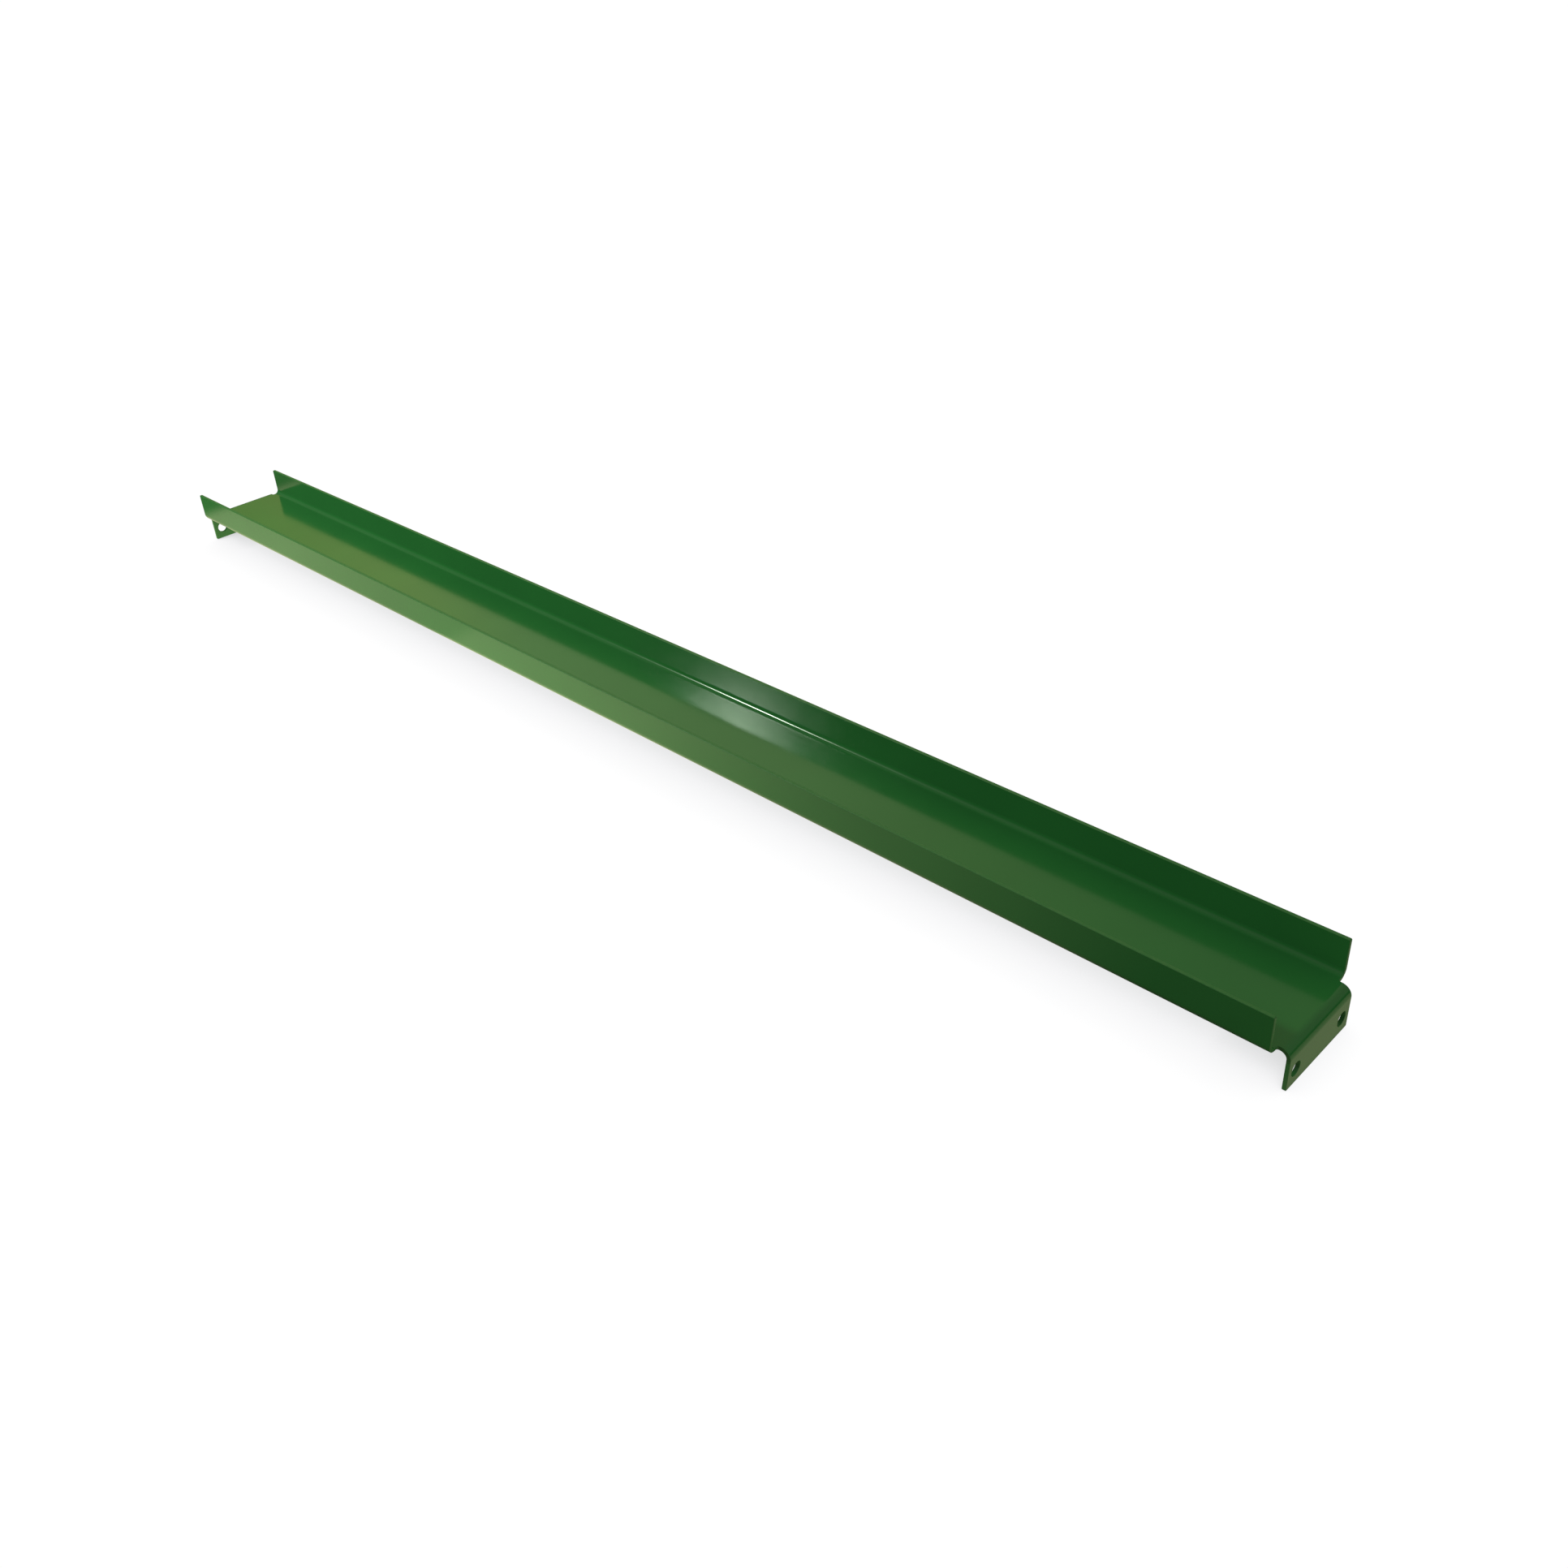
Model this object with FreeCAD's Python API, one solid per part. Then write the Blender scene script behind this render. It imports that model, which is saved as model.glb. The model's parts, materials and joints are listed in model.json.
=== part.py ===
import FreeCAD, Part
import math
import os

from FreeCAD import Vector

# A straight slide: one strip of sheet steel, cut to outline and folded four times. Two long folds turn the
# side walls up and make a shallow trough. Two short folds turn an end flange down at each end, and each
# flange has two holes for the bolts that hold the slide between its supports. The five flats of the sheet
# are five solids, parted at the folds' tangent lines, where they meet face to face without overlap.
# Millimetres, +X along the slide, +Y to the rear, +Z up. The origin is under the middle of the slide, on
# the plane of the flanges' lower edges, which is the plane that the slide stands on when it lies free.

# Driving dimensions
LENGTH = 1400.0  # over the outer faces of the two end flanges
WIDTH = 100.0  # over the outer faces of the two side walls
SHEET = 3.0  # thickness of the steel
BEND_INNER = 5.0  # inside radius of every fold
WALL_RISE = 29.0  # top of a side wall, above the floor's upper face
FLANGE_DROP = 33.0  # lower edge of an end flange, below the floor's upper face
FLANGE_WIDTH = 80.0  # an end flange is narrower than the slide
WALL_SETBACK = 10.0  # a side wall stops this far short of the flanges' outer faces
HOLE_DIAMETER = 11.0  # clearance for an M10 bolt
HOLE_SPACING = 60.0  # centre to centre, across the slide
RELIEF_RADIUS = 1.5  # root of the notch between a side wall and an end flange
CORNER_RADIUS = 1.0  # free corners of the walls and flanges, rounded for safe handling

# Dimensions that follow from them
BEND_OUTER = BEND_INNER + SHEET
FLOOR_TOP = FLANGE_DROP
FLOOR_UNDER = FLOOR_TOP - SHEET
WALL_TOP = FLOOR_TOP + WALL_RISE
END_TANGENT = LENGTH / 2 - BEND_OUTER  # x where the floor ends and an end fold begins
SIDE_TANGENT = WIDTH / 2 - BEND_OUTER  # y where the floor ends and a side fold begins
WALL_END = LENGTH / 2 - WALL_SETBACK
FLANGE_SIDE = FLANGE_WIDTH / 2
HOLE_HEIGHT = (FLOOR_TOP - BEND_OUTER) / 2  # the middle of the flange's flat

MIDPLANE_X = (Vector(0, 0, 0), Vector(1, 0, 0))
MIDPLANE_Y = (Vector(0, 0, 0), Vector(0, 1, 0))


def leg_section(point, reach):
    """Section of a folded leg: a quarter bend from the tangent line, then a flat that runs on to reach.

    point turns (out, along) into a place: out from the tangent line, and along the way that the leg folds,
    counted from the sheet's face on the inside of the fold."""
    diagonal = math.sqrt(0.5)
    inner_middle = point(BEND_INNER * diagonal, BEND_INNER - BEND_INNER * diagonal)
    outer_middle = point(BEND_OUTER * diagonal, BEND_INNER - BEND_OUTER * diagonal)
    outline = [
        Part.Arc(point(0, 0), inner_middle, point(BEND_INNER, BEND_INNER)),
        Part.LineSegment(point(BEND_INNER, BEND_INNER), point(BEND_INNER, reach)),
        Part.LineSegment(point(BEND_INNER, reach), point(BEND_OUTER, reach)),
        Part.LineSegment(point(BEND_OUTER, reach), point(BEND_OUTER, BEND_INNER)),
        Part.Arc(point(BEND_OUTER, BEND_INNER), outer_middle, point(0, -SHEET)),
        Part.LineSegment(point(0, -SHEET), point(0, 0)),
    ]
    return Part.Face(Part.Wire([edge.toShape() for edge in outline]))


def edges_through_sheet(solid, matches):
    """Edges as long as the sheet is thick, with both ends where matches says."""
    return [
        edge
        for edge in solid.Edges
        if math.isclose(edge.Length, SHEET, abs_tol=1e-6) and all(matches(end) for end in edge.Vertexes)
    ]


def round_free_corners(solid, height):
    """Round the two corners that a wall or flange has at its free edge, which lies at the given height."""
    corners = edges_through_sheet(solid, lambda end: math.isclose(end.Z, height, abs_tol=1e-6))
    return solid.makeFillet(CORNER_RADIUS, corners)


def relieved_corner():
    """Tool for the notch at the rear right corner of the floor, with its rounded root."""
    past = BEND_OUTER
    block = Part.makeBox(past, past, SHEET, Vector(WALL_END, FLANGE_SIDE, FLOOR_UNDER))

    def at_root(end):
        return math.isclose(end.X, WALL_END, abs_tol=1e-6) and math.isclose(end.Y, FLANGE_SIDE, abs_tol=1e-6)

    return block.makeFillet(RELIEF_RADIUS, edges_through_sheet(block, at_root))


def make_floor_pan():
    """The flat floor between the four tangent lines, notched at its corners."""
    corner = Vector(-END_TANGENT, -SIDE_TANGENT, FLOOR_UNDER)
    plate = Part.makeBox(2 * END_TANGENT, 2 * SIDE_TANGENT, SHEET, corner)
    rear_right = relieved_corner()
    rear_left = rear_right.mirror(*MIDPLANE_X)
    rear = [rear_right, rear_left]
    front = [notch.mirror(*MIDPLANE_Y) for notch in rear]
    return plate.cut(rear + front)


def make_rear_side_wall():
    """The rear side wall with its long fold."""

    def at_left_end(out, along):
        return Vector(-WALL_END, SIDE_TANGENT + out, FLOOR_TOP + along)

    wall = leg_section(at_left_end, WALL_RISE).extrude(Vector(2 * WALL_END, 0, 0))
    return round_free_corners(wall, WALL_TOP)


def make_right_end_flange():
    """The right end flange with its fold and its two bolt holes."""

    def at_front_side(out, along):
        return Vector(END_TANGENT + out, -FLANGE_SIDE, FLOOR_UNDER - along)

    flange = leg_section(at_front_side, FLANGE_DROP - SHEET).extrude(Vector(0, FLANGE_WIDTH, 0))
    flange = round_free_corners(flange, 0.0)
    for side in (-1, 1):
        start = Vector(END_TANGENT, side * HOLE_SPACING / 2, HOLE_HEIGHT)
        drill = Part.makeCylinder(HOLE_DIAMETER / 2, 2 * BEND_OUTER, start, Vector(1, 0, 0))
        flange = flange.cut(drill)
    return flange


def make_slide():
    """Every solid of the slide, by name."""
    rear_side_wall = make_rear_side_wall()
    right_end_flange = make_right_end_flange()
    return {
        "floor_pan": make_floor_pan(),
        "rear_side_wall": rear_side_wall,
        "front_side_wall": rear_side_wall.mirror(*MIDPLANE_Y),
        "right_end_flange": right_end_flange,
        "left_end_flange": right_end_flange.mirror(*MIDPLANE_X),
    }


def main():
    os.makedirs("parts", exist_ok=True)
    for name, solid in make_slide().items():
        solid.exportStep(f"parts/{name}.step")
        box = solid.BoundBox
        sizes = f"{box.XLength:.2f} x {box.YLength:.2f} x {box.ZLength:.2f} mm"
        print(f"{name}: {sizes}, {solid.Volume:.0f} mm3, {len(solid.Solids)} solid, valid {solid.isValid()}")


main()
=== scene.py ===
"""A straight slide: one strip of sheet steel, folded four times and powder coated green.

The sheet's five flats are five pieces. Each is cut flat and has its cut edges eased; the walls and flanges
are then folded along their tangent lines, so that their thickness runs evenly round the bend.
"""

import json
import math

import bmesh
import bpy
from bpy.props import FloatProperty, FloatVectorProperty, IntProperty, PointerProperty
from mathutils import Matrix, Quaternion, Vector


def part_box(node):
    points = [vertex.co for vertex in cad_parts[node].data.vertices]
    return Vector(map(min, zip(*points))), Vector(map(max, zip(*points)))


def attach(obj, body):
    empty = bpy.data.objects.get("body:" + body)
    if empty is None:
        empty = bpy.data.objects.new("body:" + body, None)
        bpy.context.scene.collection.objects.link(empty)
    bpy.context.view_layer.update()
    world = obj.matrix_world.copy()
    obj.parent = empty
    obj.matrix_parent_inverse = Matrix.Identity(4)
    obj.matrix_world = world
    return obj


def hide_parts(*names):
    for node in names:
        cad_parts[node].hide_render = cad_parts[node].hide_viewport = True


bl_info = {
    "name": "Straight Slide",
    "version": (1, 0, 0),
    "blender": (4, 5, 0),
    "location": "3D View > Sidebar > Slide",
    "description": "Folded sheet steel slide with a green powder coat, and the studio that it stands in",
    "category": "Object",
}

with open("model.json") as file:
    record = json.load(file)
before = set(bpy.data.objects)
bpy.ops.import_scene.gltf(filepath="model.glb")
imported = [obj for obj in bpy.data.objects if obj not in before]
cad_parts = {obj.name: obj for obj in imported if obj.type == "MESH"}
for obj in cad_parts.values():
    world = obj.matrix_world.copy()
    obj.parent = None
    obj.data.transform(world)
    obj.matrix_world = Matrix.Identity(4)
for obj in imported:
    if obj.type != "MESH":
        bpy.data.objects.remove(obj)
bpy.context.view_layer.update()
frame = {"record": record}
COAT_NAME = "green powder coat"
THIN_COAT = "thin_coat"  # vertex attribute: 1 where the coat pulls thin over a cut edge

MM = 0.001
SAME_PLACE = 1e-6  # metres; points closer than this are one vertex
QUARTER_TURN = math.pi / 2
SKIN, CUT_EDGE, EASED, SEAM = range(4)  # what a face of the blank is


# Sizes that the model gives


class Sheet:
    """Sizes of the folded sheet, in metres, read from the model."""

    def __init__(self):
        floor_low, floor_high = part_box("floor_pan")
        wall_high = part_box("rear_side_wall")[1]
        flange_low, flange_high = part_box("right_end_flange")
        self.end_tangent = floor_high.x
        self.side_tangent = floor_high.y
        self.floor_top = floor_high.z
        self.floor_under = floor_low.z
        self.thickness = floor_high.z - floor_low.z
        self.bend_outer = wall_high.y - floor_high.y
        self.bend_inner = self.bend_outer - self.thickness
        self.bend_middle = self.bend_outer - self.thickness / 2
        self.bend_length = self.bend_middle * QUARTER_TURN
        self.wall_end = wall_high.x
        self.wall_rise = wall_high.z - floor_high.z
        self.flange_side = flange_high.y
        self.flange_drop = floor_low.z - flange_low.z
        mounts = {mount["name"]: mount for mount in frame["record"]["mounts"]}
        bolts = mounts["right_end_bolts"]
        self.hole_radius = bolts["dims"]["hole_r_mm"] * MM
        self.hole_offset = bolts["dims"]["spacing_x_mm"] * MM / 2
        self.hole_drop = floor_low.z - bolts["pos_m"][2]

    def developed(self, reach):
        """Length on the flat sheet of a leg that reaches this far along its folded flat."""
        return self.bend_length + reach - self.bend_inner


SHEET = Sheet()


# Settings


class SheetSettings(bpy.types.PropertyGroup):
    """How the sheet is cut and folded."""

    corner_radius: FloatProperty(
        name="Corner radius",
        description="Rounding of the free corners of the walls and flanges",
        default=1.0 * MM, min=0.1 * MM, max=5 * MM, unit="LENGTH", precision=4,
    )
    relief_radius: FloatProperty(
        name="Relief radius",
        description="Root of the notch between a side wall and an end flange",
        default=1.5 * MM, min=0.2 * MM, max=1.9 * MM, unit="LENGTH", precision=4,
    )
    edge_easing: FloatProperty(
        name="Edge easing",
        description="Radius that deburring and the coat leave on every cut edge",
        default=0.45 * MM, min=0.05 * MM, max=0.9 * MM, unit="LENGTH", precision=5,
    )
    easing_steps: IntProperty(
        name="Easing steps", description="Faces across an eased edge", default=4, min=1, max=8,
    )
    corner_steps: IntProperty(
        name="Corner steps", description="Faces round a corner or a notch's root", default=8, min=2, max=24,
    )
    hole_steps: IntProperty(
        name="Hole steps", description="Faces round a bolt hole", default=64, min=16, max=128,
    )
    bend_steps: IntProperty(
        name="Bend steps", description="Faces round a fold", default=20, min=4, max=64,
    )


class CoatSettings(bpy.types.PropertyGroup):
    """The green powder coat."""

    green: FloatVectorProperty(
        name="Green", description="Colour of the coat",
        subtype="COLOR", size=3, min=0, max=1, default=(0.036, 0.248, 0.058),
    )
    green_shade: FloatVectorProperty(
        name="Green shade", description="Slightly deeper green that clouds the coat",
        subtype="COLOR", size=3, min=0, max=1, default=(0.033, 0.230, 0.054),
    )
    thin_green: FloatVectorProperty(
        name="Thin coat", description="Paler green where the coat is thin on a cut edge",
        subtype="COLOR", size=3, min=0, max=1, default=(0.075, 0.270, 0.080),
    )
    roughness: FloatProperty(
        name="Roughness", description="Roughness of the cured coat", default=0.145, min=0, max=1,
    )
    orange_peel: FloatProperty(
        name="Orange peel", description="Depth of the coat's fine dimples",
        default=0.0015 * MM, min=0, max=0.1 * MM, unit="LENGTH", precision=6,
    )


class StudioSettings(bpy.types.PropertyGroup):
    """Camera, lights and floor."""

    camera_place: FloatVectorProperty(
        name="Camera", description="Where the camera stands",
        subtype="TRANSLATION", unit="LENGTH", size=3, default=(0.97006, -0.71909, 0.69291),
    )
    camera_aim: FloatVectorProperty(
        name="Camera aim", description="Point that the lens axis goes through",
        subtype="TRANSLATION", unit="LENGTH", size=3, default=(0.16180, 0.03101, 0.00439),
    )
    camera_roll: FloatProperty(
        name="Camera roll", description="Turn of the camera about its lens axis",
        subtype="ANGLE", default=math.radians(-4.233),
    )
    lens: FloatProperty(
        name="Lens", description="Focal length in millimetres on a 36 mm sensor", default=33.909, min=10,
    )
    lens_shift: FloatVectorProperty(
        name="Lens shift", description="Shift of the lens, as parts of the picture's width",
        size=2, default=(0.01637, -0.02160),
    )
    key_power: FloatProperty(
        name="Key power", description="Power of the key softbox", default=9.0, min=0, unit="POWER",
    )
    end_power: FloatProperty(
        name="End power", description="Power of the light off the slide's right end",
        default=0.8, min=0, unit="POWER",
    )
    wall_strength: FloatProperty(
        name="Walls", description="Radiance of the lit walls behind the slide", default=1.0, min=0,
    )
    ceiling_strength: FloatProperty(
        name="Ceiling", description="Radiance of the ceiling", default=0.12, min=0,
    )
    ground_strength: FloatProperty(
        name="Ground", description="Radiance of the lit ground", default=1.0, min=0,
    )


# Cutting and folding the sheet


def rounded(before, corner, after, radius, steps):
    """Points of the arc that rounds a square corner of an outline."""
    back = (before - corner).normalized()
    ahead = (after - corner).normalized()
    centre = corner + (back + ahead) * radius
    turns = [QUARTER_TURN * step / steps for step in range(steps + 1)]
    return [centre - (ahead * math.cos(turn) + back * math.sin(turn)) * radius for turn in turns]


def outline_of(corners, steps):
    """An outline from (x, y, radius) corners; a corner without a radius stays sharp."""
    places = [Vector(corner[:2]) for corner in corners]
    outline = []
    for index, corner in enumerate(corners):
        if corner[2]:
            before = places[index - 1]
            after = places[(index + 1) % len(places)]
            outline += rounded(before, places[index], after, corner[2], steps)
        else:
            outline.append(places[index])
    return outline


def half_circle(centre, radius, steps, start):
    """Points round half a hole, clockwise from the start angle."""
    turns = [start - math.pi * step / steps for step in range(steps + 1)]
    return [centre + Vector((math.cos(turn), math.sin(turn))) * radius for turn in turns]


def cut_blank(outlines, thickness):
    """A flat blank of outlines that meet edge to edge: both skins, and the cut edge between them."""
    blank = bmesh.new()
    blank.faces.layers.int.new("kind")
    places = {}

    def vertex(point, side):
        key = (round(point.x / SAME_PLACE), round(point.y / SAME_PLACE), side)
        if key not in places:
            places[key] = blank.verts.new((point.x, point.y, side * thickness / 2))
        return places[key]

    for outline in outlines:
        blank.faces.new([vertex(point, 1) for point in outline])
        blank.faces.new([vertex(point, -1) for point in reversed(outline)])
    loops = [loop for face in blank.faces for loop in face.loops]
    rims = [loop for loop in loops if loop.edge.is_boundary and loop.vert.co.z > 0]
    ends = [(loop.vert, loop.link_loop_next.vert) for loop in rims]
    kind = blank.faces.layers.int["kind"]
    for first, second in ends:
        below_first = vertex(first.co.xy, -1)
        below_second = vertex(second.co.xy, -1)
        side = blank.faces.new([second, first, below_first, below_second])
        side[kind] = CUT_EDGE
    blank.normal_update()
    return blank


def ease_edges(blank, on_seam, settings):
    """Round the blank's cut edges over, except along the seams where it runs on into its neighbours."""
    kind = blank.faces.layers.int["kind"]
    for face in blank.faces:
        if face[kind] == CUT_EDGE and all(on_seam(vert.co) for vert in face.verts):
            face[kind] = SEAM
    sharp = []
    for edge in blank.edges:
        kinds = {face[kind] for face in edge.link_faces}
        if kinds == {SKIN, CUT_EDGE}:
            sharp.append(edge)
    eased = bmesh.ops.bevel(
        blank,
        geom=sharp,
        offset=settings.edge_easing,
        offset_type="OFFSET",
        segments=settings.easing_steps,
        profile=0.5,
        affect="EDGES",
        clamp_overlap=True,
        material=-1,
    )
    for face in eased["faces"]:
        face[kind] = EASED
    blank.normal_update()


def crease_lines(blank, lines):
    """Cut the blank across at every one of these distances from its tangent line."""
    for line in lines:
        everything = blank.verts[:] + blank.edges[:] + blank.faces[:]
        place = Vector((0, line, 0))
        bmesh.ops.bisect_plane(blank, geom=everything, dist=SAME_PLACE, plane_co=place, plane_no=(0, 1, 0))
    blank.normal_update()


def smooth_normal(vert, kind):
    """Normal of the sheet's surface at a vertex: a skin's own where it touches one, or else blended."""
    for wanted in (SKIN, CUT_EDGE, EASED):
        faces = [face for face in vert.link_faces if face[kind] == wanted]
        if faces:
            total = Vector((0, 0, 0))
            for face in faces:
                total += face.normal * face.calc_area()
            return total.normalized()
    return vert.normal.copy()


def finish_piece(name, blank, place):
    """Turn a blank into a piece of the slide. place folds a point and a direction on the flat sheet."""
    kind = blank.faces.layers.int["kind"]
    thin = blank.verts.layers.float.new(THIN_COAT)
    normals = {}
    for vert in blank.verts:
        normals[vert] = smooth_normal(vert, kind)
        vert[thin] = 0.0 if any(face[kind] == SKIN for face in vert.link_faces) else 1.0
    corner_normals = []
    for face in blank.faces:
        for loop in face.loops:
            flat = face.normal if face[kind] == SEAM else normals[loop.vert]
            corner_normals.append(place(loop.vert.co, flat)[1])
        face.smooth = True
    folded = {vert: place(vert.co, vert.normal)[0] for vert in blank.verts}
    for vert, point in folded.items():
        vert.co = point
    mesh = bpy.data.meshes.new(name)
    blank.to_mesh(mesh)
    blank.free()
    mesh.normals_split_custom_set(corner_normals)
    piece = bpy.data.objects.new(name, mesh)
    bpy.context.scene.collection.objects.link(piece)
    piece.data.materials.append(powder_coat())
    return piece


def leg_fold(out, rise, start):
    """How a leg's flat points go round its fold. The flat sheet's x runs along the fold, its y away from the
    tangent line, and its z towards the side that the leg folds to."""
    along = out.cross(rise)

    def place(point, direction):
        turn = min(max(point.y, 0.0) / SHEET.bend_middle, QUARTER_TURN)
        past = max(point.y - SHEET.bend_length, 0.0)
        ahead = out * math.cos(turn) + rise * math.sin(turn)
        inward = rise * math.cos(turn) - out * math.sin(turn)
        centre = start + rise * SHEET.bend_inner
        spot = centre - inward * (SHEET.bend_middle - point.z) + ahead * past + along * point.x
        turned = along * direction.x + ahead * direction.y + inward * direction.z
        return spot, turned

    return place


def bend_lines(settings):
    """Where the creases of a leg go, evenly over its bend."""
    return [SHEET.bend_length * step / settings.bend_steps for step in range(1, settings.bend_steps + 1)]


def on_tangent_line(point):
    """Whether a point of a leg's blank is where the floor runs on."""
    return abs(point.y) < SAME_PLACE


def make_floor_pan(settings):
    """The flat floor of the trough, notched at its corners between the four tangent lines."""
    end = SHEET.end_tangent
    side = SHEET.side_tangent
    wall_end = SHEET.wall_end
    flange_side = SHEET.flange_side
    root = settings.relief_radius
    quarter = [(end, flange_side, 0), (wall_end, flange_side, root), (wall_end, side, 0)]
    left = [(-x, y, radius) for x, y, radius in reversed(quarter)]
    rear = quarter + left
    front = [(-x, -y, radius) for x, y, radius in rear]
    blank = cut_blank([outline_of(rear + front, settings.corner_steps)], SHEET.thickness)

    def on_seam(point):
        return abs(abs(point.x) - end) < SAME_PLACE or abs(abs(point.y) - side) < SAME_PLACE

    ease_edges(blank, on_seam, settings)
    middle = Vector((0, 0, (SHEET.floor_top + SHEET.floor_under) / 2))

    def place(point, direction):
        return middle + point, direction.copy()

    return finish_piece("trough_floor", blank, place)


def make_side_wall(name, out, settings):
    """A side wall with its long fold, out to one side and up."""
    half = SHEET.wall_end
    reach = SHEET.developed(SHEET.wall_rise)
    round_off = settings.corner_radius
    corners = [(-half, 0, 0), (half, 0, 0), (half, reach, round_off), (-half, reach, round_off)]
    blank = cut_blank([outline_of(corners, settings.corner_steps)], SHEET.thickness)
    ease_edges(blank, on_tangent_line, settings)
    crease_lines(blank, bend_lines(settings))
    start = out * SHEET.side_tangent + Vector((0, 0, SHEET.floor_top))
    return finish_piece(name, blank, leg_fold(out, Vector((0, 0, 1)), start))


def make_end_flange(name, out, settings):
    """An end flange with its fold, out past one end and down, and its two bolt holes. Its blank is three
    outlines that meet along the holes' middle lines."""
    half = SHEET.flange_side
    reach = SHEET.developed(SHEET.flange_drop)
    hole_line = SHEET.developed(SHEET.hole_drop)
    offset = SHEET.hole_offset
    radius = SHEET.hole_radius
    steps = settings.hole_steps // 2
    right_hole = Vector((offset, hole_line))
    left_hole = Vector((-offset, hole_line))
    side = Vector((half, 0))
    corner = Vector((half, reach))
    inside = Vector((offset, reach))
    right = [Vector((offset, 0)), side]
    right += rounded(side, corner, inside, settings.corner_radius, settings.corner_steps)
    right.append(inside)
    right += half_circle(right_hole, radius, steps, QUARTER_TURN)
    left = [Vector((-point.x, point.y)) for point in reversed(right)]
    middle = [Vector((-offset, 0)), Vector((offset, 0))]
    middle += half_circle(right_hole, radius, steps, -QUARTER_TURN)
    middle += [Vector((offset, reach)), Vector((-offset, reach))]
    middle += half_circle(left_hole, radius, steps, QUARTER_TURN)
    blank = cut_blank([left, middle, right], SHEET.thickness)
    ease_edges(blank, on_tangent_line, settings)
    crease_lines(blank, bend_lines(settings))
    start = out * SHEET.end_tangent + Vector((0, 0, SHEET.floor_under))
    return finish_piece(name, blank, leg_fold(out, Vector((0, 0, -1)), start))


# Finish

COAT_IOR = 1.5  # refractive index of the cured resin

# How fine the coat's patterns are, in features per metre
CLOUDS = 9.0
EDGE_PATCHES = 260.0
HANDLING = 38.0
DIMPLES = 420.0
DUST_CELLS = 55.0

CLOUD_RANGE = (0.35, 0.65)  # the range of the noise over which the colour clouds
THIN_RANGE = (0.25, 0.75)  # least and most that the thin green shows on a cut edge
CLEAN_SHARE = 0.93  # share of the dust cells that hold no nib
NIB_RADIUS = 0.035  # in widths of a dust cell
NIB_HEIGHT = 0.03 * MM
ROUGHNESS_SWING = 0.012  # how far the roughness goes either way where the coat was handled
EDGE_DULLING = 0.30  # extra roughness where the coat is thin on an edge
MIDDLE_OF_NOISE = (0.3, 0.7)  # the range that noise mostly keeps to


class Nodes:
    """Adds nodes to a tree, each in the next place along its row."""

    SPACING = 190  # between neighbours in the node editor

    def __init__(self, tree):
        self.tree = tree
        self.tree.nodes.clear()
        self.step = 0

    def add(self, kind, label, values=None, **settings):
        node = self.tree.nodes.new(kind)
        node.label = label
        node.location = (self.step * self.SPACING, 0)
        self.step += 1
        for name, value in settings.items():
            setattr(node, name, value)
        for socket, value in (values or {}).items():
            if isinstance(value, bpy.types.NodeSocket):
                self.tree.links.new(value, node.inputs[socket])
            else:
                node.inputs[socket].default_value = value
        return node

    def noise(self, label, vector, scale, detail=2.0):
        values = {"Vector": vector, "Scale": scale, "Detail": detail}
        return self.add("ShaderNodeTexNoise", label, values).outputs["Fac"]

    def spread(self, label, value, low, high, to_low, to_high, way="SMOOTHSTEP"):
        values = {"Value": value, "From Min": low, "From Max": high, "To Min": to_low, "To Max": to_high}
        return self.add("ShaderNodeMapRange", label, values, interpolation_type=way).outputs["Result"]

    def calculate(self, operation, label, first, second):
        return self.add("ShaderNodeMath", label, {0: first, 1: second}, operation=operation).outputs[0]

    def bump(self, label, distance, height, normal=None):
        values = {"Strength": 1.0, "Distance": distance, "Height": height}
        if normal is not None:
            values["Normal"] = normal
        return self.add("ShaderNodeBump", label, values).outputs["Normal"]

    def blend(self, label, share, first, second):
        values = {"Factor": share, "A": first, "B": second}
        mix = self.add("ShaderNodeMix", label, data_type="RGBA")
        for socket in mix.inputs:
            if socket.name in values and socket.type in ("RGBA", "VALUE") and socket.enabled:
                value = values[socket.name]
                if isinstance(value, bpy.types.NodeSocket):
                    self.tree.links.new(value, socket)
                else:
                    socket.default_value = value
        return next(socket for socket in mix.outputs if socket.type == "RGBA")

    def background(self, label, colour, strength):
        values = {"Color": colour, "Strength": strength}
        return self.add("ShaderNodeBackground", label, values).outputs["Background"]

    def ramp(self, label, value, stops):
        node = self.add("ShaderNodeValToRGB", label, {"Fac": value})
        elements = node.color_ramp.elements
        for index, (position, colour) in enumerate(stops):
            element = elements[index] if index < len(elements) else elements.new(position)
            element.position = position
            element.color = opaque(colour)
        return node.outputs["Color"]


def opaque(colour):
    """A colour with its alpha."""
    return (*colour, 1.0)


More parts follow.
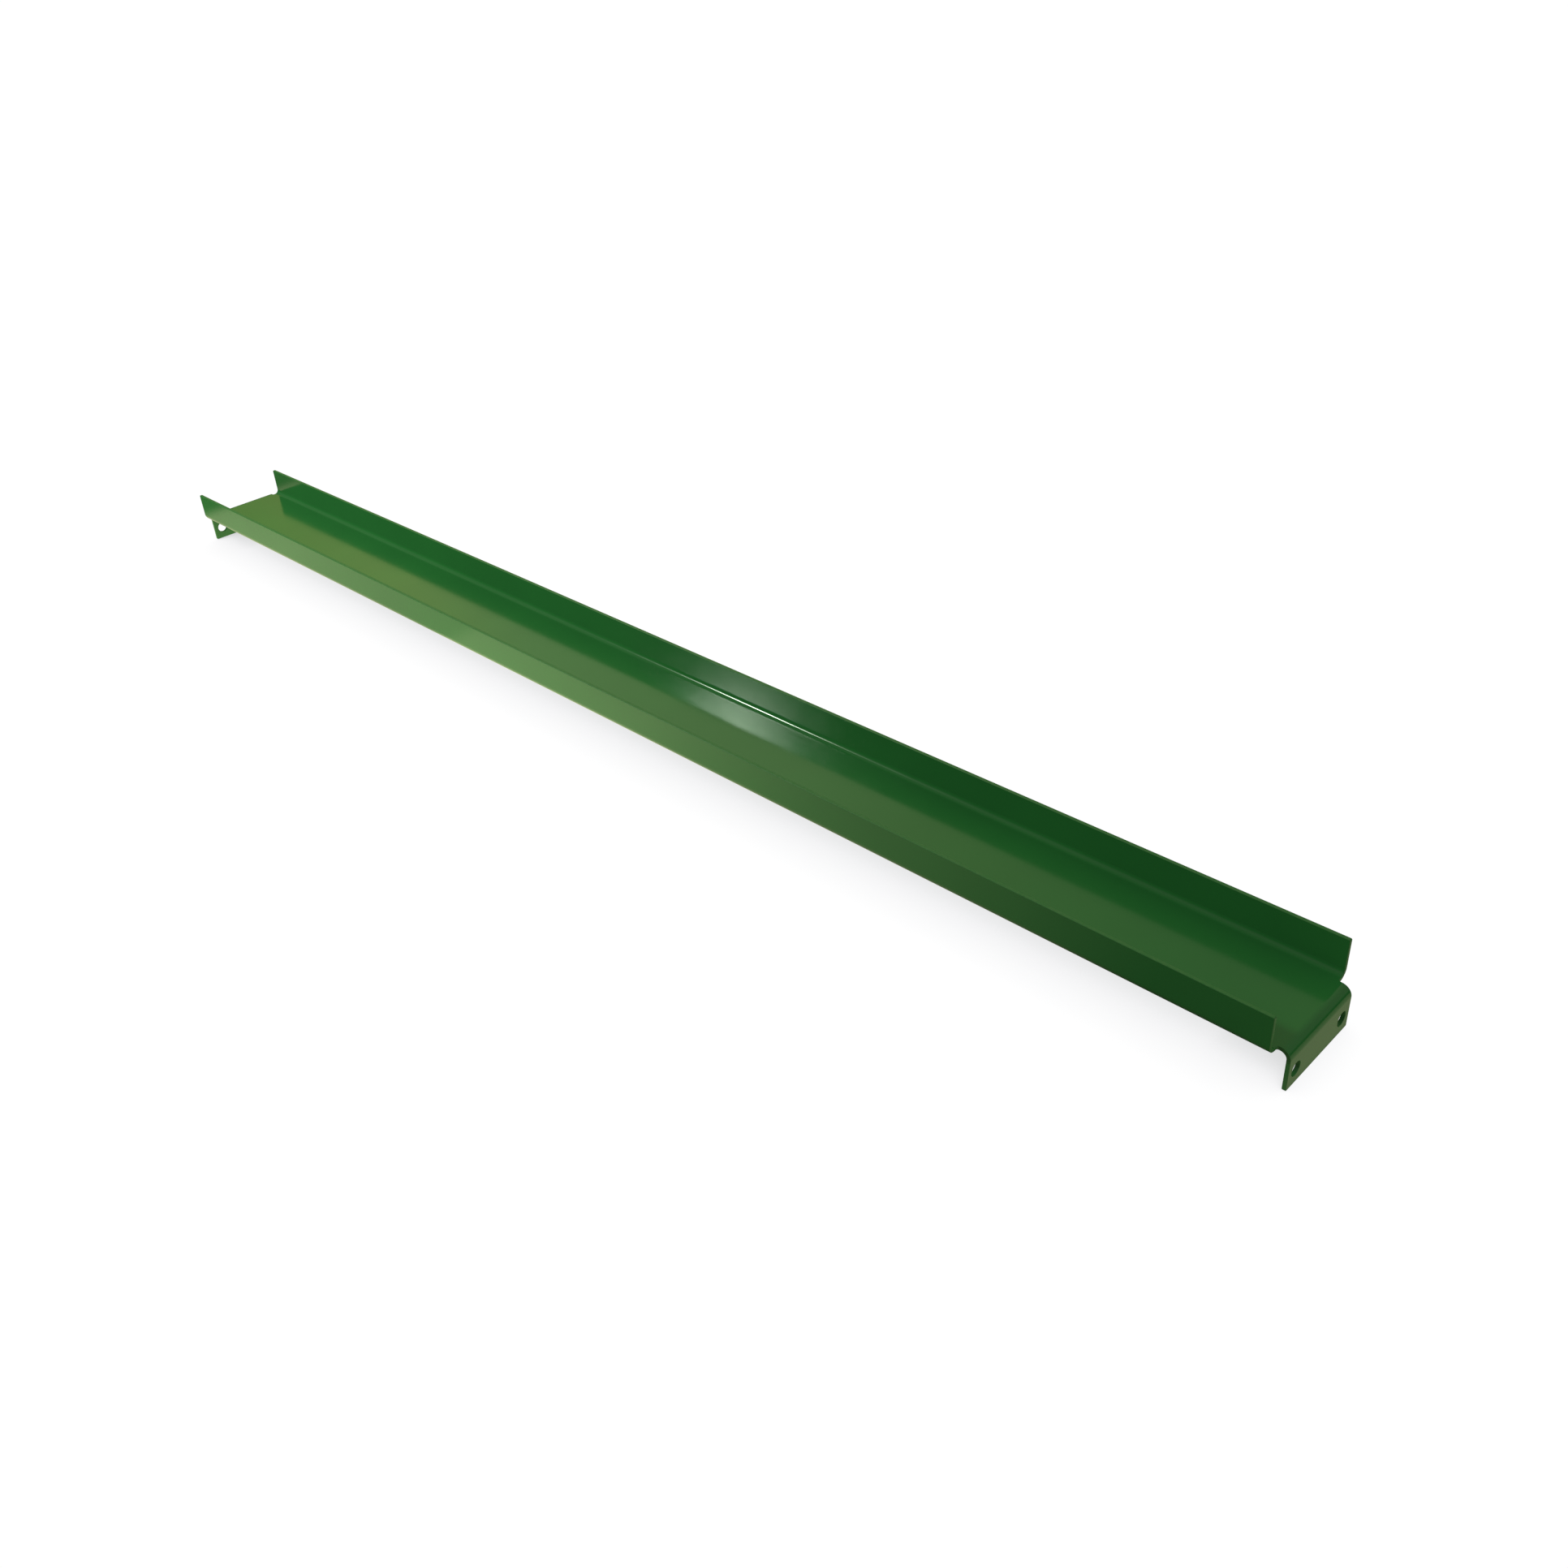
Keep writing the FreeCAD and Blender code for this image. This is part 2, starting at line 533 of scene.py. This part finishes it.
def powder_coat():
    """Glossy green powder coat: clouded, dimpled, with a few dust nibs, and thin on the cut edges."""
    if COAT_NAME in bpy.data.materials:
        return bpy.data.materials[COAT_NAME]
    settings = bpy.context.scene.slide_coat
    coat = bpy.data.materials.new(COAT_NAME)
    coat.use_nodes = True
    nodes = Nodes(coat.node_tree)
    place = nodes.add("ShaderNodeTexCoord", "place on the slide").outputs["Object"]

    clouds = nodes.noise("clouds in the colour", place, CLOUDS, detail=3.0)
    cloud_share = nodes.spread("how clouded", clouds, *CLOUD_RANGE, 0.0, 1.0)
    colour = nodes.blend("clouded green", cloud_share, opaque(settings.green), opaque(settings.green_shade))
    edge = nodes.add("ShaderNodeAttribute", "thin coat", attribute_name=THIN_COAT).outputs["Fac"]
    patches = nodes.noise("patches along the edges", place, EDGE_PATCHES)
    thinness = nodes.spread("patches", patches, *MIDDLE_OF_NOISE, *THIN_RANGE)
    worn = nodes.calculate("MULTIPLY", "thin in patches", edge, thinness)
    colour = nodes.blend("edge colour", worn, colour, opaque(settings.thin_green))

    handling = nodes.noise("handling", place, HANDLING, detail=4.0)
    low = settings.roughness - ROUGHNESS_SWING
    high = settings.roughness + ROUGHNESS_SWING
    cured = nodes.spread("roughness", handling, *MIDDLE_OF_NOISE, low, high)
    duller = nodes.calculate("MULTIPLY", "duller on edges", edge, EDGE_DULLING)
    roughness = nodes.calculate("ADD", "roughness with edges", cured, duller)

    peel = nodes.noise("orange peel", place, DIMPLES, detail=1.5)
    dimples = nodes.bump("dimples", settings.orange_peel, peel)
    cells = nodes.add("ShaderNodeTexVoronoi", "dust", {"Vector": place, "Scale": DUST_CELLS}, feature="F1")
    colours = {"Color": cells.outputs["Color"]}
    rare = nodes.add("ShaderNodeSeparateColor", "dust pick", colours).outputs["Red"]
    picked = nodes.calculate("GREATER_THAN", "few cells", rare, CLEAN_SHARE)
    grain = nodes.spread("grain", cells.outputs["Distance"], 0.0, NIB_RADIUS, 1.0, 0.0)
    nib = nodes.calculate("MULTIPLY", "nibs", grain, picked)
    surface = nodes.bump("dust nibs", NIB_HEIGHT, nib, dimples)

    paint = nodes.add(
        "ShaderNodeBsdfPrincipled",
        "coat",
        {"Base Color": colour, "Roughness": roughness, "Normal": surface, "IOR": COAT_IOR, "Metallic": 0.0},
    )
    nodes.add("ShaderNodeOutputMaterial", "output", {"Surface": paint.outputs["BSDF"]})
    return coat


# Studio

SENSOR_WIDTH = 36.0  # millimetres
CLIP_START = 0.01
CLIP_END = 100.0
FLOOR_HALF = 20.0  # metres from the floor's middle to its sides
FLOOR_CELLS = 8
FLOOR_GAP = 0.5 * MM  # between the floor and the slide's feet
SHADE_REACH = 0.06  # metres from the slide to the end of its shade
SHADE_SAMPLES = 24
WHITE = 1.02  # radiance of the paper and the backdrop, just past 1 so that they come out white

# The paper's lightness by how open it is to the sky
PAPER_SHADE = (
    (0.10, (0.60, 0.61, 0.61)),
    (0.40, (0.90, 0.90, 0.91)),
    (0.90, (WHITE, WHITE, WHITE)),
)

# The ground's light along the slide, as (x in metres, radiance): a cloth lit from the left, a paler one from
# -0.23 on, and a shadow that ends at the slide's right end
GROUND_REACH = 1.0
GROUND_STRIP = (0.18, 0.36)  # distance from the slide's middle line over which the light fades out
GROUND_CREAM = (1.0, 0.98, 0.60)
GROUND_LIGHT = (
    (-0.80, 0.10),
    (-0.77, 0.85),
    (-0.60, 0.97),
    (-0.26, 0.78),
    (-0.23, 1.12),
    (0.03, 1.05),
    (0.25, 0.54),
    (0.58, 0.06),
    (0.69, 0.06),
    (0.70, 0.32),
)

# The walls' light by bearing in degrees, from the left end through the rear to the right end: yellow from
# 18 to 31, paler to 47, dim from there
WALL_LIGHT = (
    (0, (0.14, 0.10, 0.12)),
    (18, (0.34, 0.34, 0.10)),
    (24, (0.45, 0.48, 0.15)),
    (29, (0.78, 0.83, 0.30)),
    (33, (0.62, 0.68, 0.36)),
    (43, (0.64, 0.70, 0.38)),
    (51, (0.44, 0.48, 0.24)),
    (62, (0.26, 0.30, 0.16)),
    (150, (0.22, 0.26, 0.18)),
)

# Where the walls begin and end and the ceiling gathers, as the upward part of a direction of length 1
WALLS_BEGIN = (0.05, 0.25)
WALLS_END = (0.70, 0.95)
CEILING_GATHERS = (0.2, 1.0)
CEILING_CREAM = (1.0, 1.0, 0.8)


def floor_material(settings):
    """White paper to the camera, with a soft shade under the slide. To the coat it is the lit ground."""
    material = bpy.data.materials.new("pale floor")
    material.use_nodes = True
    material.cycles.emission_sampling = "NONE"
    nodes = Nodes(material.node_tree)
    seen = nodes.add("ShaderNodeLightPath", "who looks").outputs["Is Camera Ray"]
    reach = {"Distance": SHADE_REACH}
    shade = nodes.add("ShaderNodeAmbientOcclusion", "contact shade", reach, samples=SHADE_SAMPLES)
    lit = nodes.ramp("shaded paper", shade.outputs["AO"], PAPER_SHADE)
    paper = nodes.add("ShaderNodeEmission", "paper", {"Color": lit, "Strength": 1.0}).outputs[0]

    place = nodes.add("ShaderNodeTexCoord", "place").outputs["Object"]
    axes = nodes.add("ShaderNodeSeparateXYZ", "axes", {"Vector": place}).outputs
    position = nodes.spread("along the slide", axes["X"], -GROUND_REACH, GROUND_REACH, 0.0, 1.0, "LINEAR")
    stops = []
    for x, light in GROUND_LIGHT:
        stops.append((0.5 + x / GROUND_REACH / 2, [part * light for part in GROUND_CREAM]))
    colour = nodes.ramp("ground light", position, stops)
    aside = nodes.calculate("ABSOLUTE", "aside", axes["Y"], 0.0)
    strength = nodes.spread("lit strip", aside, *GROUND_STRIP, settings.ground_strength, 0.0)
    ground = nodes.add("ShaderNodeEmission", "ground", {"Color": colour, "Strength": strength}).outputs[0]
    mix = nodes.add("ShaderNodeMixShader", "paper or ground", {0: seen, 1: ground, 2: paper})
    nodes.add("ShaderNodeOutputMaterial", "output", {"Surface": mix.outputs[0]})
    return material


def studio_floor(settings):
    """A plain pale floor."""
    mesh = bpy.data.meshes.new("studio_floor")
    blank = bmesh.new()
    bmesh.ops.create_grid(blank, x_segments=FLOOR_CELLS, y_segments=FLOOR_CELLS, size=FLOOR_HALF)
    blank.to_mesh(mesh)
    blank.free()
    floor = bpy.data.objects.new("studio_floor", mesh)
    bpy.context.scene.collection.objects.link(floor)
    floor.location.z = -FLOOR_GAP
    floor.data.materials.append(floor_material(settings))


def studio_room(settings):
    """Dim room with a soft ceiling and warm lit walls behind the slide, and white to the camera."""
    world = bpy.data.worlds.new("studio room")
    bpy.context.scene.world = world
    world.use_nodes = True
    nodes = Nodes(world.node_tree)
    seen = nodes.add("ShaderNodeLightPath", "who looks").outputs["Is Camera Ray"]
    way = nodes.add("ShaderNodeTexCoord", "direction").outputs["Generated"]
    axes = nodes.add("ShaderNodeSeparateXYZ", "axes", {"Vector": way}).outputs
    left = nodes.calculate("MULTIPLY", "left", axes["X"], -1.0)
    bearing = nodes.calculate("ARCTAN2", "bearing", axes["Y"], left)
    share = nodes.spread("bearing from left to right", bearing, 0.0, math.pi, 0.0, 1.0, "LINEAR")
    stops = [(math.radians(degrees) / math.pi, colour) for degrees, colour in WALL_LIGHT]
    colour = nodes.ramp("wall light", share, stops)
    bottom = nodes.spread("bottom of the walls", axes["Z"], *WALLS_BEGIN, 0.0, 1.0)
    top = nodes.spread("top of the walls", axes["Z"], *WALLS_END, 1.0, 0.0)
    height = nodes.calculate("MULTIPLY", "height", bottom, top)
    wall_strength = nodes.calculate("MULTIPLY", "wall strength", height, settings.wall_strength)
    walls = nodes.background("walls", colour, wall_strength)
    overhead = nodes.spread("overhead", axes["Z"], *CEILING_GATHERS, 0.0, settings.ceiling_strength)
    ceiling = nodes.background("ceiling", opaque(CEILING_CREAM), overhead)
    light = nodes.add("ShaderNodeAddShader", "light", {0: walls, 1: ceiling}).outputs[0]
    paper = nodes.background("paper", (1, 1, 1, 1), WHITE)
    mix = nodes.add("ShaderNodeMixShader", "paper or room", {0: seen, 1: light, 2: paper})
    nodes.add("ShaderNodeOutputWorld", "output", {"Surface": mix.outputs[0]})


def soft_light(name, place, aim, size, power, colour):
    """A soft box that lights the slide, and stays out of the picture."""
    light = bpy.data.lights.new(name, "AREA")
    light.shape = "RECTANGLE"
    light.size, light.size_y = size
    light.energy = power
    light.color = colour
    lamp = bpy.data.objects.new(name, light)
    lamp.location = place
    lamp.rotation_mode = "QUATERNION"
    lamp.rotation_quaternion = (Vector(aim) - Vector(place)).to_track_quat("-Z", "Y")
    lamp.visible_camera = False
    bpy.context.scene.collection.objects.link(lamp)


def studio_lights(settings):
    """A tall key light at the left front, and a weak light off the right end."""
    soft_light(
        "key softbox",
        place=(-0.86, -0.81, 0.93),
        aim=(0.15, 0.04, 0.03),
        size=(0.11, 0.23),
        power=settings.key_power,
        colour=(0.83, 1.0, 0.78),
    )
    soft_light(
        "right end light",
        place=(1.70, 0.10, 0.50),
        aim=(0.70, 0.0, 0.02),
        size=(0.40, 0.40),
        power=settings.end_power,
        colour=(1.0, 1.0, 1.0),
    )


def camera(settings):
    """The camera at the slide's right front, a little above it."""
    data = bpy.data.cameras.new("camera")
    data.sensor_width = SENSOR_WIDTH
    data.lens = settings.lens
    data.shift_x = settings.lens_shift[0]
    data.shift_y = settings.lens_shift[1]
    data.clip_start = CLIP_START
    data.clip_end = CLIP_END
    viewer = bpy.data.objects.new("camera", data)
    place = Vector(settings.camera_place)
    ahead = (Vector(settings.camera_aim) - place).normalized()
    level = ahead.to_track_quat("-Z", "Y")
    viewer.location = place
    viewer.rotation_mode = "QUATERNION"
    viewer.rotation_quaternion = level @ Quaternion((0, 0, 1), settings.camera_roll)
    bpy.context.scene.collection.objects.link(viewer)
    bpy.context.scene.camera = viewer


# Operators


def declare(piece, node):
    """Put a piece in place of its node: hide the node, and let the piece ride on the slide's only body."""
    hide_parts(node)
    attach(piece, "root")


class SLIDE_OT_floor_pan(bpy.types.Operator):
    """Make the flat floor of the trough"""

    bl_idname = "slide.floor_pan"
    bl_label = "Floor"

    def execute(self, context):
        declare(make_floor_pan(context.scene.slide_sheet), "floor_pan")
        return {"FINISHED"}


class SLIDE_OT_side_walls(bpy.types.Operator):
    """Make the two side walls with their long folds"""

    bl_idname = "slide.side_walls"
    bl_label = "Side walls"

    def execute(self, context):
        settings = context.scene.slide_sheet
        for side, out in (("rear", Vector((0, 1, 0))), ("front", Vector((0, -1, 0)))):
            declare(make_side_wall(f"{side}_wall", out, settings), f"{side}_side_wall")
        return {"FINISHED"}


class SLIDE_OT_end_flanges(bpy.types.Operator):
    """Make the two end flanges with their folds and bolt holes"""

    bl_idname = "slide.end_flanges"
    bl_label = "End flanges"

    def execute(self, context):
        settings = context.scene.slide_sheet
        for end, out in (("right", Vector((1, 0, 0))), ("left", Vector((-1, 0, 0)))):
            declare(make_end_flange(f"{end}_flange", out, settings), f"{end}_end_flange")
        return {"FINISHED"}


class SLIDE_OT_studio(bpy.types.Operator):
    """Set up the floor, the room, the light and the camera"""

    bl_idname = "slide.studio"
    bl_label = "Studio"

    def execute(self, context):
        settings = context.scene.slide_studio
        context.scene.view_settings.view_transform = "Standard"
        studio_floor(settings)
        studio_room(settings)
        studio_lights(settings)
        camera(settings)
        return {"FINISHED"}


class SLIDE_PT_panel(bpy.types.Panel):
    """Sidebar panel with every step of the slide"""

    bl_idname = "SLIDE_PT_panel"
    bl_label = "Straight Slide"
    bl_space_type = "VIEW_3D"
    bl_region_type = "UI"
    bl_category = "Slide"

    def draw(self, context):
        scene = context.scene
        groups = {"Sheet": scene.slide_sheet, "Coat": scene.slide_coat, "Studio": scene.slide_studio}
        for title, settings in groups.items():
            box = self.layout.box()
            box.label(text=title)
            for name in settings.__annotations__:
                box.prop(settings, name)
        for step in STEPS:
            self.layout.operator(step.bl_idname)


SETTINGS = (SheetSettings, CoatSettings, StudioSettings)
STEPS = (SLIDE_OT_floor_pan, SLIDE_OT_side_walls, SLIDE_OT_end_flanges, SLIDE_OT_studio)
CLASSES = (*SETTINGS, *STEPS, SLIDE_PT_panel)


def register():
    for item in CLASSES:
        bpy.utils.register_class(item)
    bpy.types.Scene.slide_sheet = PointerProperty(type=SheetSettings)
    bpy.types.Scene.slide_coat = PointerProperty(type=CoatSettings)
    bpy.types.Scene.slide_studio = PointerProperty(type=StudioSettings)


def unregister():
    del bpy.types.Scene.slide_studio
    del bpy.types.Scene.slide_coat
    del bpy.types.Scene.slide_sheet
    for item in reversed(CLASSES):
        bpy.utils.unregister_class(item)


def main():
    register()
    bpy.ops.slide.floor_pan()
    bpy.ops.slide.side_walls()
    bpy.ops.slide.end_flanges()
    bpy.ops.slide.studio()


if __name__ == "__main__":
    main()
